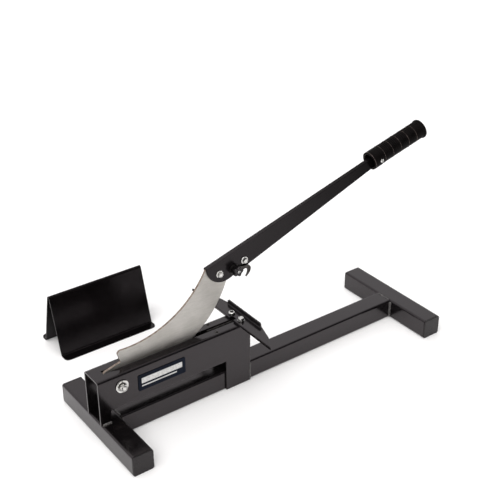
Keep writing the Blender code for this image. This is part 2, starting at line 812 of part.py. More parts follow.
def make_grip():
    grip = turned("grip", grip_profile(), 36)
    mouth = PIVOT + Vector((GRIP_MOUTH[0], 0, GRIP_MOUTH[1]))
    grip.matrix_world = Matrix.Translation(mouth) @ Matrix.Rotation(math.pi / 2 - GRIP_TILT, 4, "Y")
    start, end = grip_point(0)[0] - GRIP_RADIUS, LEVER_END_X + GAP
    pocket = [
        (start, wall_height(start) - GAP),
        (end, wall_height(end) - GAP),
        (end, web_height(end) + GAP),
        (start, web_height(start) + GAP),
    ]
    half = LEVER_HALF + GAP
    pocket_cut = plate("grip_pocket_cut", "XZ", pocket, (-half, half), about=PIVOT)
    at = grip_point(GRIP_SCREW_AT)
    hole = rod("grip_screw_cut", "XZ", at, GRIP_SCREW + RUN, (-2 * GRIP_RADIUS, 0), PIVOT, 16)
    seat_span = (-2 * GRIP_RADIUS, -grip_seat())
    seat = rod("grip_seat_cut", "XZ", at, GRIP_SCREW_HEAD[0] + RUN, seat_span, PIVOT)
    return finish_piece(cut(grip, pocket_cut, hole, seat), BLACK_PLASTIC)


def grip_seat():
    """Distance from the middle plane to the flat under the grip screw's head."""
    return math.sqrt(GRIP_RADIUS**2 - GRIP_SCREW_HEAD[0] ** 2) - GAP


def make_grip_screw():
    radius, height = GRIP_SCREW_HEAD
    tip = -(BLADE / 2 + RUN + GAP)
    seat = grip_seat() + GAP
    at = grip_point(GRIP_SCREW_AT)
    screw = rod("grip_screw", "XZ", at, radius, (-seat - height, -seat), PIVOT)
    modifier = screw.modifiers.new("bevel", "BEVEL")
    modifier.width = 0.0006
    modifier.segments = 2
    modifier.angle_limit = math.radians(60)
    shaft = rod("grip_screw_shaft", "XZ", at, GRIP_SCREW, (-seat - height / 2, tip), PIVOT, 16)
    return finish_piece(join(screw, shaft), ZINC)


# ---------------------------------------------------------------- blade guides and fence


def make_guides():
    pieces = []
    for label, side, bolt_y in (("far", 1, FENCE_BOLTS_Y[0]), ("near", -1, FENCE_BOLTS_Y[1])):
        y = sorted((side * GUIDE_INNER, side * (HOUSING_INNER - GAP)))
        low = (GUIDE_X[0], y[0], GUIDE_TOP - GUIDE_HEIGHT)
        guide = box(f"blade_guide_{label}", low, (GUIDE_X[1], y[1], GUIDE_TOP), HOUSING_BEND - SHEET)
        span = (GUIDE_TOP - 2 * GUIDE_HEIGHT, GUIDE_TOP + SHEET)
        cut(
            guide,
            rod("guide_screw_cut", "XY", (GUIDE_SCREW_X, side * GUIDE_SCREW_Y), GUIDE_SCREW + RUN, span),
            rod("guide_bolt_cut", "XY", (FENCE_X, bolt_y), FENCE_BOLT + RUN, span),
        )
        radius, depth = GUIDE_SCREW_HEAD
        screw = turned(
            f"guide_screw_{label}",
            [
                (0, -RUN),
                (radius, -RUN),
                (GUIDE_SCREW, -depth - RUN),
                (GUIDE_SCREW, -SHEET - GUIDE_HEIGHT),
                (0, -SHEET - GUIDE_HEIGHT),
            ],
            20,
        )
        screw.location = (GUIDE_SCREW_X, side * GUIDE_SCREW_Y, HOUSING_TOP)
        pieces += [finish_piece(guide, STEEL), finish_piece(screw, ZINC)]
    return pieces


def past(start, end, x):
    """The point at x on the line from start through end."""
    return x, end[1] + (end[1] - start[1]) * (x - end[0]) / (end[0] - start[0])


def fence_plan():
    """Outline seen from above: tapered ends, run on past the guide face and the rear lip."""
    front, rear = FENCE_X - FENCE_FRONT, FENCE_X + FENCE_REAR
    outline = []
    for end, shoulder, lip in zip(FENCE_ENDS, FENCE_SHOULDERS, FENCE_LIP_ENDS):
        tip, bend = (front, end), (rear - FENCE_TAPER, shoulder)
        foot = (rear, lip + math.copysign(FENCE_LIP_CORNER, lip))
        side = [past(bend, tip, front - SHEET), bend, past(bend, foot, rear + SHEET)]
        outline += side if end < 0 else side[::-1]
    return outline


def fence_section():
    """Z-shaped section in the XZ plane: guide lip down, plate, rear lip up."""
    front, rear = FENCE_X - FENCE_FRONT, FENCE_X + FENCE_REAR
    top, t = FENCE_TOP, FENCE_SHEET
    bottom, above = HOUSING_TOP + GAP, HOUSING_TOP + FENCE_LIP_TOP + SHEET
    upper = filleted([(front, bottom), (front, top), (rear - t, top), (rear - t, above)], FENCE_BEND)
    lower = [(rear, above), (rear, top - t), (front + t, top - t), (front + t, bottom)]
    return upper + filleted(lower, FENCE_BEND)


def fence_front():
    """Outline seen along the spine: the plate's level, and the rear lip with rounded ends."""
    near, far = FENCE_ENDS[0] - SHEET, FENCE_ENDS[1] + SHEET
    lip_near, lip_far = FENCE_LIP_ENDS
    deck, lip_top = FENCE_TOP + GAP, HOUSING_TOP + FENCE_LIP_TOP
    line = [
        (near, deck),
        (lip_near, deck),
        (lip_near, lip_top),
        (lip_far, lip_top),
        (lip_far, deck),
        (far, deck),
    ]
    floor = HOUSING_TOP - TUBE
    return filleted(line, FENCE_LIP_CORNER) + [(far, floor), (near, floor)]


def make_fence():
    front, rear = FENCE_X - FENCE_FRONT, FENCE_X + FENCE_REAR
    fence = plate("fence", "XZ", fence_section(), (FENCE_ENDS[0] - SHEET, FENCE_ENDS[1] + SHEET))
    tall = (HOUSING_TOP - TUBE, HOUSING_TOP + TUBE)
    combine(fence, plate("fence_plan", "XY", fence_plan(), tall), "INTERSECT")
    side = plate("fence_side", "YZ", fence_front(), (front - SHEET, rear + SHEET))
    combine(fence, side, "INTERSECT")
    half, depth = FENCE_NOTCH
    notch = rounded_box((front - depth, -half), (front + depth, half), 0.002)
    cut(fence, plate("fence_notch_cut", "XY", notch, tall))
    fixed = (FENCE_X, FENCE_BOLTS_Y[0])
    reach = FENCE_BOLT + RUN
    slot_low = (FENCE_X - reach - FENCE_PLAY, FENCE_BOLTS_Y[1] - reach)
    slot = rounded_box(slot_low, (FENCE_X + reach + FENCE_PLAY, FENCE_BOLTS_Y[1] + reach), 0.95 * reach)
    cut(
        fence,
        rod("fence_pivot_cut", "XY", fixed, reach, tall),
        plate("fence_clamp_cut", "XY", slot, tall),
    )
    return finish_piece(fence, PAINT)


def make_fence_bolts():
    washer_radius, washer = FENCE_WASHER
    seat = FENCE_TOP + GAP + washer + GAP
    end = GUIDE_TOP - GUIDE_HEIGHT
    bore = FENCE_BOLT + RUN
    pivot_at, clamp_at = ((FENCE_X, y) for y in FENCE_BOLTS_Y)
    radius, height = BUTTON_HEAD
    profile = [(0, height)]
    profile += arc((radius - height, 0), height, 90, 0, 5)
    profile += [(FENCE_BOLT, 0), (FENCE_BOLT, end - seat), (0, end - seat)]
    button = turned("fence_pivot_bolt", profile, 28)
    button.location = (*pivot_at, seat)
    socket_span = (seat + height / 3, seat + 2 * height)
    socket = plate("fence_socket_cut", "XY", hexagon(pivot_at, FENCE_SOCKET), socket_span)
    head = (seat, seat + FENCE_HEAD)
    clamp = hex_bolt("fence_clamp_bolt", "XY", clamp_at, FENCE_BOLT, FENCE_FLATS, head, (end, seat))
    pieces = [finish_piece(cut(button, socket), ZINC), finish_piece(clamp, ZINC)]
    spacer_radius = FENCE_FRONT - FENCE_SHEET - FENCE_PLAY - GAP
    for label, at in (("far", pivot_at), ("near", clamp_at)):
        above = (FENCE_TOP + GAP, FENCE_TOP + GAP + washer)
        under = (HOUSING_TOP + GAP, FENCE_TOP - FENCE_SHEET - GAP)
        flat = ring(f"fence_washer_{label}", "XY", at, (bore, washer_radius), above)
        spacer = ring(f"fence_spacer_{label}", "XY", at, (bore, spacer_radius), under)
        pieces += [finish_piece(flat, ZINC), finish_piece(spacer, ZINC)]
    return pieces


# ---------------------------------------------------------------- stand


def make_stand():
    """One sheet folded to a ridge, with a flange turned out along each foot."""
    low, ridge = STAND_SHEET / 2, HOUSING_TOP - STAND_SHEET / 2
    out = STAND_SPREAD + STAND_FLANGE
    fold = [(-out, low), (-STAND_SPREAD, low), (0, ridge), (STAND_SPREAD, low), (out, low)]
    sheet = outline_curve("stand", [filleted(fold, STAND_BEND)], STAND_LENGTH / 2, closed=False)
    sheet.matrix_world = Matrix.Translation((STAND_X, STAND_Y, 0)) @ PLANES["YZ"].to_4x4()
    stand = as_mesh(sheet)
    solidify = stand.modifiers.new("thickness", "SOLIDIFY")
    solidify.thickness = STAND_SHEET
    solidify.offset = 0
    half = STAND_LENGTH / 2
    plan = rounded_box((STAND_X - half, STAND_Y - out), (STAND_X + half, STAND_Y + out), STAND_CORNER)
    combine(stand, plate("stand_plan", "XY", plan, (-TUBE, HOUSING_TOP + TUBE)), "INTERSECT")
    return finish_piece(stand, PAINT)


# ---------------------------------------------------------------- assembly

PAINT = ((0.045, 0.042, 0.044), 0.38, 0.0)
BLACK_PLASTIC = ((0.022, 0.021, 0.022), 0.5, 0.0)
ZINC = ((0.72, 0.72, 0.70), 0.28, 1.0)
DARK_ZINC = ((0.25, 0.25, 0.25), 0.35, 1.0)
STEEL = ((0.35, 0.34, 0.33), 0.45, 1.0)
BLADE_STEEL = ((0.60, 0.58, 0.55), 0.32, 1.0)
LABEL_BLUE = ((0.012, 0.030, 0.075), 0.35, 0.0)

clear_scene()
PIECES = new_collection("floor_board_guillotine")
CUTTERS = new_collection("cutters")
CUTTERS.hide_render = True

make_frame()
make_housing()
make_label()
make_pivot()
make_guides()
make_fence_bolts()

arm = new_empty("arm_axis", PIVOT)
hang_on(arm, make_lever(), make_blade(), *make_lever_bolts())
hang_on(arm, make_latch_stud(), make_grip(), make_grip_screw())
latch = new_empty("latch_axis", PIVOT + Vector((LATCH[0], 0, LATCH[1])))
hang_on(latch, make_latch_hook(), make_latch_knob())
hang_on(arm, latch)

fence_axis = new_empty("fence_axis", (FENCE_X, FENCE_BOLTS_Y[0], FENCE_TOP))
hang_on(fence_axis, make_fence())

stand_axis = new_empty("stand_axis", (STAND_X, STAND_Y, 0))
hang_on(stand_axis, make_stand())
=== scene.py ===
import math

import bmesh
import bpy
from mathutils import Matrix, Vector, noise


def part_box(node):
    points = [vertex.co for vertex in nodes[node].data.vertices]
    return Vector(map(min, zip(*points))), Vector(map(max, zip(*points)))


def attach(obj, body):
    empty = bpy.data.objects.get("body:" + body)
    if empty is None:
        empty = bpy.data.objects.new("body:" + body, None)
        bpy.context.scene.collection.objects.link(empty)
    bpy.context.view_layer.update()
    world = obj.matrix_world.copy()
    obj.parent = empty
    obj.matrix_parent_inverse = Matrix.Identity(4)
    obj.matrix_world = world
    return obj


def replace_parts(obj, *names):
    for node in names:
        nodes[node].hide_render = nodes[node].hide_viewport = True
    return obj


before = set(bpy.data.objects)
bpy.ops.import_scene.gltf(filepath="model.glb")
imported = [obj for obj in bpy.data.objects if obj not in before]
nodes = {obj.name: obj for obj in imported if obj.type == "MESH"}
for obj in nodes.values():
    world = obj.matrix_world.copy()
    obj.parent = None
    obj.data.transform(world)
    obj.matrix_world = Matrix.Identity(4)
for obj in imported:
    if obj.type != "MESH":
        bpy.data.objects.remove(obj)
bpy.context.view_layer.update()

# ------------------------------------------------------------------ camera, lights and floor

scene = bpy.context.scene


CAMERA_PLACE = (-0.60745, -1.24354, 1.13208)
CAMERA_BELOW_LEVEL = math.radians(29.326)
CAMERA_HEADING = math.radians(-36.42)
CAMERA_LENS = 71.74  # mm, on a sensor 36 mm wide


def make_camera():
    data = bpy.data.cameras.new("camera")
    data.sensor_width = 36.0
    data.lens = CAMERA_LENS
    data.clip_start, data.clip_end = 0.05, 50
    cam = bpy.data.objects.new("camera", data)
    cam.location = CAMERA_PLACE
    cam.rotation_euler = (math.pi / 2 - CAMERA_BELOW_LEVEL, 0, CAMERA_HEADING)
    scene.collection.objects.link(cam)
    scene.camera = cam


def area_light(name, at, target, size, power):
    data = bpy.data.lights.new(name, "AREA")
    data.shape = "RECTANGLE"
    data.size, data.size_y = size
    data.energy = power
    obj = bpy.data.objects.new(name, data)
    obj.location = at
    obj.rotation_mode = "QUATERNION"
    obj.rotation_quaternion = (Vector(target) - Vector(at)).to_track_quat("-Z", "Y")
    scene.collection.objects.link(obj)


def make_studio():
    """A pale sweep behind, a dark room in front, a broad soft light overhead and a weak strip at the front.

    The room that the camera sees is always full white; the sweep only lights and reflects.
    """
    scene.view_settings.view_transform = "Standard"
    world = bpy.data.worlds.new("studio")
    scene.world = world
    world.use_nodes = True
    tree = world.node_tree
    back = tree.nodes["Background"]
    back.inputs["Color"].default_value = (1.0, 0.985, 0.99, 1)
    where = tree.nodes.new("ShaderNodeTexCoord")
    split = tree.nodes.new("ShaderNodeSeparateXYZ")
    tree.links.new(where.outputs["Generated"], split.inputs["Vector"])
    sweep = tree.nodes.new("ShaderNodeMapRange")
    sweep.interpolation_type = "SMOOTHSTEP"
    for key, value in (("From Min", -0.50), ("From Max", 0.15), ("To Min", 0.03), ("To Max", 0.95)):
        sweep.inputs[key].default_value = value
    tree.links.new(split.outputs["Y"], sweep.inputs["Value"])
    path = tree.nodes.new("ShaderNodeLightPath")
    seen = tree.nodes.new("ShaderNodeMath")
    seen.operation = "MAXIMUM"
    tree.links.new(path.outputs["Is Camera Ray"], seen.inputs[0])
    tree.links.new(sweep.outputs["Result"], seen.inputs[1])
    tree.links.new(seen.outputs["Value"], back.inputs["Strength"])
    data = bpy.data.lights.new("overhead", "SUN")
    data.energy = 2.5
    data.angle = math.radians(70)
    data.color = (1.0, 0.985, 0.975)
    obj = bpy.data.objects.new("overhead", data)
    obj.rotation_euler = (math.radians(24), math.radians(-20), 0)
    scene.collection.objects.link(obj)
    area_light("strip", (-0.9, -1.0, 0.9), (0.15, 0, 0.12), (0.4, 0.8), 2.5)


def make_floor():
    bpy.ops.mesh.primitive_grid_add(x_subdivisions=4, y_subdivisions=4, size=60)
    floor = bpy.context.object
    floor.name = "floor"
    floor.location = (0.3, 0, 0)
    mat = bpy.data.materials.new("floor_white")
    mat.use_nodes = True
    nt = mat.node_tree
    shader = nt.nodes["Principled BSDF"]
    shader.inputs["Base Color"].default_value = (0.93, 0.93, 0.93, 1)
    shader.inputs["Roughness"].default_value = 0.85
    shader.inputs["Specular IOR Level"].default_value = 0.1
    floor.data.materials.append(mat)


make_camera()
make_studio()
make_floor()

# ------------------------------------------------------------------ materials


class Graph:
    """A small helper that wires up one material's nodes."""

    def __init__(self, name):
        self.mat = bpy.data.materials.new(name)
        self.mat.use_nodes = True
        self.tree = self.mat.node_tree
        self.shader = self.tree.nodes["Principled BSDF"]
        self.coords = self.tree.nodes.new("ShaderNodeTexCoord").outputs["Object"]

    def set(self, **values):
        for key, value in values.items():
            socket = self.shader.inputs[key.replace("_", " ")]
            socket.default_value = (*value, 1) if isinstance(value, tuple) else value

    def link(self, source, target):
        self.tree.links.new(source, target)

    def node(self, kind, **values):
        made = self.tree.nodes.new(kind)
        for key, value in values.items():
            if hasattr(made, key):
                setattr(made, key, value)
            else:
                made.inputs[key.replace("_", " ")].default_value = value
        return made

    def scaled(self, factors):
        mapping = self.node("ShaderNodeMapping")
        mapping.inputs["Scale"].default_value = factors
        self.link(self.coords, mapping.inputs["Vector"])
        return mapping.outputs["Vector"]

    def noise(self, scale, detail=3.0, roughness=0.5, stretch=None):
        made = self.node("ShaderNodeTexNoise", Scale=scale, Detail=detail, Roughness=roughness)
        self.link(self.scaled(stretch) if stretch else self.coords, made.inputs["Vector"])
        return made.outputs["Fac"]

    def spots(self, scale, low, high):
        """1 inside small scattered dots, 0 elsewhere."""
        made = self.node("ShaderNodeTexVoronoi", Scale=scale)
        self.link(self.coords, made.inputs["Vector"])
        return self.ramp(made.outputs["Distance"], (low, 1), (high, 0))

    def ramp(self, value, *stops):
        """Maps a value through stops of (place, level)."""
        made = self.tree.nodes.new("ShaderNodeMapRange")
        (a, va), (b, vb) = stops
        made.inputs["From Min"].default_value, made.inputs["From Max"].default_value = a, b
        made.inputs["To Min"].default_value, made.inputs["To Max"].default_value = va, vb
        made.interpolation_type = "SMOOTHSTEP"
        self.link(value, made.inputs["Value"])
        return made.outputs["Result"]

    def math(self, kind, a, b=0, clamp=False):
        made = self.tree.nodes.new("ShaderNodeMath")
        made.operation = kind
        made.use_clamp = clamp
        for socket, value in zip(made.inputs, (a, b)):
            if isinstance(value, (int, float)):
                socket.default_value = value
            else:
                self.link(value, socket)
        return made.outputs["Value"]

    def mix(self, factor, a, b):
        made = self.tree.nodes.new("ShaderNodeMix")
        made.data_type = "RGBA"
        for socket, value in ((made.inputs["Factor"], factor), (made.inputs[6], a), (made.inputs[7], b)):
            if isinstance(value, tuple):
                socket.default_value = (*value, 1)
            elif isinstance(value, (int, float)):
                socket.default_value = value
            else:
                self.link(value, socket)
        return made.outputs[2]

    def bevel_normal(self, radius):
        made = self.node("ShaderNodeBevel", samples=4, Radius=radius)
        return made.outputs["Normal"]

    def edges(self, radius, low, high):
        """1 along the outer and inner edges, 0 on flats."""
        turned = self.bevel_normal(radius)
        geometry = self.tree.nodes.new("ShaderNodeNewGeometry")
        dot = self.node("ShaderNodeVectorMath", operation="DOT_PRODUCT")
        self.link(turned, dot.inputs[0])
        self.link(geometry.outputs["True Normal"], dot.inputs[1])
        return self.ramp(dot.outputs["Value"], (low, 1), (high, 0))

    def crevices(self, reach, low, high):
        """1 deep in corners, 0 in the open: the mask for painted shade in crevices."""
        made = self.node("ShaderNodeAmbientOcclusion", samples=8, Distance=reach)
        return self.ramp(made.outputs["AO"], (low, 1), (high, 0))

    def axis(self, source, name):
        split = self.tree.nodes.new("ShaderNodeSeparateXYZ")
        self.link(source, split.inputs["Vector"])
        return split.outputs[name]

    def along(self, origin, tilt):
        """Distance from origin along a line tilted up from X."""
        x = self.math("SUBTRACT", self.axis(self.coords, "X"), origin.x)
        z = self.math("SUBTRACT", self.axis(self.coords, "Z"), origin.z)
        level = self.math("MULTIPLY", x, math.cos(tilt))
        return self.math("ADD", level, self.math("MULTIPLY", z, math.sin(tilt)))

    def bumps(self, *layers, normal=None):
        """Stacks (height, strength, distance) layers onto the normal."""
        for height, strength, distance in layers:
            bump = self.node("ShaderNodeBump", Strength=strength, Distance=distance)
            self.link(height, bump.inputs["Height"])
            if normal is not None:
                self.link(normal, bump.inputs["Normal"])
            normal = bump.outputs["Normal"]
        self.link(normal, self.shader.inputs["Normal"])

    def colour(self, source):
        self.link(source, self.shader.inputs["Base Color"])

    def roughness(self, source):
        self.link(source, self.shader.inputs["Roughness"])


def paint(
    name,
    dark=(0.0022, 0.0018, 0.0020),
    light=(0.0046, 0.0038, 0.0041),
    gloss=(0.13, 0.21),
    shine=0.52,
    fade=None,
):
    """Black powder coat: soft orange peel, dust specks, and edges lightened partly as rubbed wear and partly
    as a painted highlight; with fade, painted shade and highlight go into the shine.
    """
    g = Graph(name)
    g.set(IOR=1.50, Specular_IOR_Level=shine, Specular_Tint=(1.0, 0.90, 0.94))
    cloud = g.noise(9, 4, 0.55)
    base = g.mix(g.ramp(cloud, (0.35, 0), (0.65, 1)), dark, light)
    grain = g.noise(900, 2, 0.6)
    base = g.mix(g.math("MULTIPLY", g.ramp(grain, (0.45, 0), (0.75, 1)), 0.20), base, (0.012, 0.011, 0.0115))
    dust = g.spots(240, 0.04, 0.09)
    some = g.ramp(g.noise(30, 2), (0.50, 0), (0.62, 1))
    base = g.mix(g.math("MULTIPLY", g.math("MULTIPLY", dust, some), 0.3), base, (0.09, 0.08, 0.075))
    rubbed = g.ramp(g.noise(120, 5, 0.7), (0.44, 0.10), (0.66, 0.9))
    # Edges lightened in the colour: partly rubbed wear, partly a painted highlight along the edges.
    wear_and_edge_highlight = g.math("MULTIPLY", g.edges(0.0011, 0.80, 0.97), rubbed)
    base = g.mix(g.math("MULTIPLY", wear_and_edge_highlight, 0.55), base, (0.12, 0.105, 0.10))
    g.colour(base)
    if fade:
        # Painted shade and highlight in the shine: it weakens towards the lever's grip end, strengthens on
        # the upward-facing web, and a painted dark line follows the bends.
        start, end = fade
        level = g.ramp(g.axis(g.coords, "X"), (start, 1.1 * shine), (end, 0.10 * shine))
        coords = g.tree.nodes.new("ShaderNodeTexCoord")
        web_highlight = g.ramp(g.axis(coords.outputs["Normal"], "Z"), (0.3, 1.0), (0.7, 1.35))
        bend_shadow = g.ramp(g.edges(0.0020, 0.80, 0.97), (0.2, 1.0), (0.9, 0.15))
        level = g.math("MULTIPLY", g.math("MULTIPLY", level, web_highlight), bend_shadow)
        g.link(level, g.shader.inputs["Specular IOR Level"])
    g.roughness(g.ramp(g.noise(28, 4, 0.6), (0.3, gloss[0]), (0.7, gloss[1])))
    peel = g.noise(620, 2, 0.5)
    waves = g.noise(70, 2, 0.5)
    g.bumps((peel, 0.08, 0.0004), (waves, 0.04, 0.0015), normal=g.bevel_normal(0.0009))
    return g.mat


def blade_steel(name):
    """Satin ground steel with fine streaks along the blade, stained at its narrow edges."""
    g = Graph(name)
    g.set(Metallic=0.82)
    cloud = g.noise(14, 4, 0.6)
    base = g.mix(g.ramp(cloud, (0.35, 0), (0.65, 1)), (0.42, 0.402, 0.375), (0.51, 0.492, 0.464))
    streaks = g.noise(90, 3, 0.7, stretch=(0.7, 1, 9.0))
    base = g.mix(g.math("MULTIPLY", g.ramp(streaks, (0.45, 0), (0.7, 1)), 0.35), base, (0.33, 0.32, 0.296))
    spots = g.math("MULTIPLY", g.spots(130, 0.05, 0.12), g.ramp(g.noise(20, 3), (0.5, 0), (0.6, 1)))
    base = g.mix(g.math("MULTIPLY", spots, 0.35), base, (0.22, 0.19, 0.16))
    geometry = g.tree.nodes.new("ShaderNodeNewGeometry")
    split = g.tree.nodes.new("ShaderNodeSeparateXYZ")
    g.link(geometry.outputs["Normal"], split.inputs["Vector"])
    side = g.math("ABSOLUTE", split.outputs["Y"])
    narrow = g.ramp(side, (0.30, 1), (0.75, 0))
    scale = g.mix(g.ramp(g.noise(160, 3), (0.4, 0), (0.6, 1)), (0.20, 0.155, 0.125), (0.33, 0.27, 0.225))
    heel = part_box("blade")[0].z
    ahead = g.math(
        "MULTIPLY",
        g.ramp(split.outputs["X"], (-0.60, 1), (-0.35, 0)),
        g.ramp(g.axis(g.coords, "Z"), (heel + 0.030, 1), (heel + 0.040, 0)),
    )
    scale = g.mix(ahead, scale, (0.80, 0.76, 0.70))
    g.colour(g.mix(narrow, base, scale))
    g.roughness(g.ramp(g.noise(60, 4, 0.6, stretch=(0.7, 1, 6.0)), (0.3, 0.36), (0.7, 0.52)))
    fine = g.noise(700, 2, 0.5, stretch=(0.15, 1, 1.6))
    g.bumps((fine, 0.10, 0.0003), (g.noise(45, 3), 0.05, 0.001), normal=g.bevel_normal(0.0005))
    return g.mat


def zinc(name, dull=(0.60, 0.595, 0.57), bright=(0.72, 0.715, 0.70)):
    """Bright zinc plate with a faint bloom, and painted shade darkening its crevices."""
    g = Graph(name)
    g.set(Metallic=1.0)
    plate = g.mix(g.ramp(g.noise(220, 4, 0.6), (0.35, 0), (0.65, 1)), dull, bright)
    plate = g.mix(g.math("MULTIPLY", g.spots(500, 0.05, 0.20), 0.25), plate, (0.33, 0.31, 0.27))
    # Painted shade: the colour darkens in crevices and at contact lines.
    g.colour(g.mix(g.crevices(0.0045, 0.55, 0.93), plate, (0.030, 0.028, 0.027)))
    g.roughness(g.ramp(g.noise(300, 4, 0.6), (0.3, 0.10), (0.7, 0.22)))
    g.bumps((g.noise(1500, 2), 0.05, 0.0002), normal=g.bevel_normal(0.0002))
    return g.mat


def dark_steel(name):
    """Blackened steel with a dull, mottled shine."""
    g = Graph(name)
    g.set(Metallic=1.0)
    cloud = g.ramp(g.noise(180, 4, 0.6), (0.35, 0), (0.65, 1))
    g.colour(g.mix(cloud, (0.040, 0.036, 0.034), (0.085, 0.080, 0.078)))
    g.roughness(g.ramp(g.noise(250, 3), (0.3, 0.28), (0.7, 0.42)))
    g.bumps((g.noise(900, 2), 0.10, 0.0003), normal=g.bevel_normal(0.0004))
    return g.mat


def plastic(
    name,
    dark=(0.0040, 0.0036, 0.0038),
    light=(0.0075, 0.0068, 0.0070),
    rough=(0.40, 0.55),
    grain=0.18,
    shine=0.45,
    seams=None,
):
    """Moulded black plastic with a spark-eroded grain and polished edges; with seams, pale seam lines as a
    painted highlight.
    """
    g = Graph(name)
    g.set(IOR=1.49, Specular_IOR_Level=shine, Specular_Tint=(1.0, 0.92, 0.95))
    base = g.mix(g.ramp(g.noise(25, 4, 0.6), (0.35, 0), (0.65, 1)), dark, light)
    rubbed = g.math("MULTIPLY", g.edges(0.0008, 0.75, 0.97), g.ramp(g.noise(90, 4), (0.4, 0.1), (0.65, 0.8)))
    base = g.mix(g.math("MULTIPLY", rubbed, 0.5), base, (0.065, 0.060, 0.060))
    if seams:
        origin, tilt, places = seams
        distance = g.along(origin, tilt)
        patchy = g.ramp(g.noise(260, 3, 0.7), (0.38, 0.25), (0.60, 1.0))
        # Pale seam lines: a painted highlight along each seam.
        for seam in places:
            off = g.math("ABSOLUTE", g.math("SUBTRACT", distance, seam))
            line = g.math("MULTIPLY", g.ramp(off, (0.0003, 1), (0.0008, 0)), patchy)
            base = g.mix(line, base, (0.115, 0.095, 0.088))
    g.colour(base)
    g.roughness(g.ramp(g.noise(50, 4), (0.3, rough[0]), (0.7, rough[1])))
    g.bumps((g.noise(1300, 3, 0.6), grain, 0.0003), normal=g.bevel_normal(0.0006))
    return g.mat


def label(name):
    """A plain navy plate with two blank pale bars."""
    lo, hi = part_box("label_plate")
    g = Graph(name)
    g.set(IOR=1.5, Specular_IOR_Level=0.07)
    split = g.tree.nodes.new("ShaderNodeSeparateXYZ")
    g.link(g.coords, split.inputs["Vector"])
    x, z = split.outputs["X"], split.outputs["Z"]

    def band(value, low, high, soft=0.0003):
        rise = g.ramp(value, (low - soft, 0), (low + soft, 1))
        return g.math("MULTIPLY", rise, g.ramp(value, (high - soft, 1), (high + soft, 0)))

    width, height = hi.x - lo.x, hi.z - lo.z
    left, right = lo.x + 0.07 * width, hi.x - 0.07 * width
    bar = g.math("MULTIPLY", band(x, left, right), band(z, lo.z + 0.44 * height, lo.z + 0.78 * height))
    low_band = band(z, lo.z + 0.24 * height, lo.z + 0.32 * height)
    thin = g.math("MULTIPLY", band(x, left, right - 0.12 * width), low_band)
    cloud = g.ramp(g.noise(60, 4), (0.35, 0), (0.65, 1))
    navy = g.mix(cloud, (0.0020, 0.0042, 0.0105), (0.0032, 0.0062, 0.0150))
    white = g.mix(g.ramp(g.noise(300, 3), (0.35, 0), (0.65, 1)), (0.56, 0.56, 0.55), (0.70, 0.70, 0.69))
    marks = g.math("ADD", bar, thin, clamp=True)
    g.colour(g.mix(marks, navy, white))
    g.roughness(g.ramp(g.noise(120, 3), (0.3, 0.30), (0.7, 0.42)))
    g.bumps((marks, 0.3, 0.0001), (g.noise(900, 2), 0.05, 0.0002))
    return g.mat


def weld_metal(name):
    """Painted weld bead, mottled lighter and glossier than the coat beside it."""
    g = Graph(name)
    g.set(IOR=1.52, Coat_Weight=0.15, Coat_Roughness=0.15)
    scale = g.ramp(g.noise(300, 4, 0.7), (0.4, 0), (0.7, 1))
    g.colour(g.mix(scale, (0.010, 0.009, 0.009), (0.105, 0.096, 0.092)))
    g.roughness(g.ramp(g.noise(200, 3), (0.3, 0.14), (0.7, 0.28)))
    g.bumps((g.noise(700, 3, 0.6), 0.25, 0.0004))
    return g.mat


PAINT = paint("powder_coat")
LEVER_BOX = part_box("lever")
# The lever's coat: a dimmer copy with lower shine, with painted shade and highlight laid into its shine by
# place.
PAINT_ARM = paint("powder_coat_arm", gloss=(0.18, 0.27), shine=0.22, fade=(LEVER_BOX[0].x, LEVER_BOX[1].x))
PAINT_STAND = paint(
    "powder_coat_stand",
    dark=(0.0012, 0.0010, 0.0011),
    light=(0.0026, 0.0021, 0.0022),
    gloss=(0.16, 0.24),
    shine=0.20,
)
BLADE = blade_steel("blade_steel")
ZINC = zinc("zinc_plate")
DARK = dark_steel("dark_steel")
CAP = plastic("cap_plastic", rough=(0.24, 0.36), grain=0.14, shine=0.36)

GRIP_TILT = math.radians(15.24)
GRIP_FLANGE = 0.0192  # radius
GRIP_RADIUS = 0.0172
GRIP_SHORTER = 0.0025  # than its CAD node
END_PLAY = 0.0005  # lets the flange's rim reach the corner of its box
GRIP_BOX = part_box("grip")
GRIP_AXIS = Vector((math.cos(GRIP_TILT), 0, math.sin(GRIP_TILT)))
GRIP_REACH = GRIP_BOX[1].x - GRIP_BOX[0].x - 2 * GRIP_FLANGE * math.sin(GRIP_TILT)
GRIP_RUN = GRIP_REACH / math.cos(GRIP_TILT) + END_PLAY
GRIP_START = (GRIP_BOX[0] + GRIP_BOX[1]) / 2 - GRIP_AXIS * GRIP_RUN / 2
GRIP_SEAMS = [0.0265 + 0.0205 * k for k in range(5)]
GRIP = plastic(
    "grip_rubber",
    dark=(0.0022, 0.0019, 0.0019),
    light=(0.0050, 0.0042, 0.0041),
    rough=(0.30, 0.46),
    grain=0.35,
    shine=0.03,
    seams=(GRIP_START, GRIP_TILT, [0.0012, *GRIP_SEAMS]),
)
KNOB = plastic("knob_plastic", rough=(0.16, 0.28), grain=0.08)
LABEL = label("label_print")
WELD = weld_metal("weld_bead")

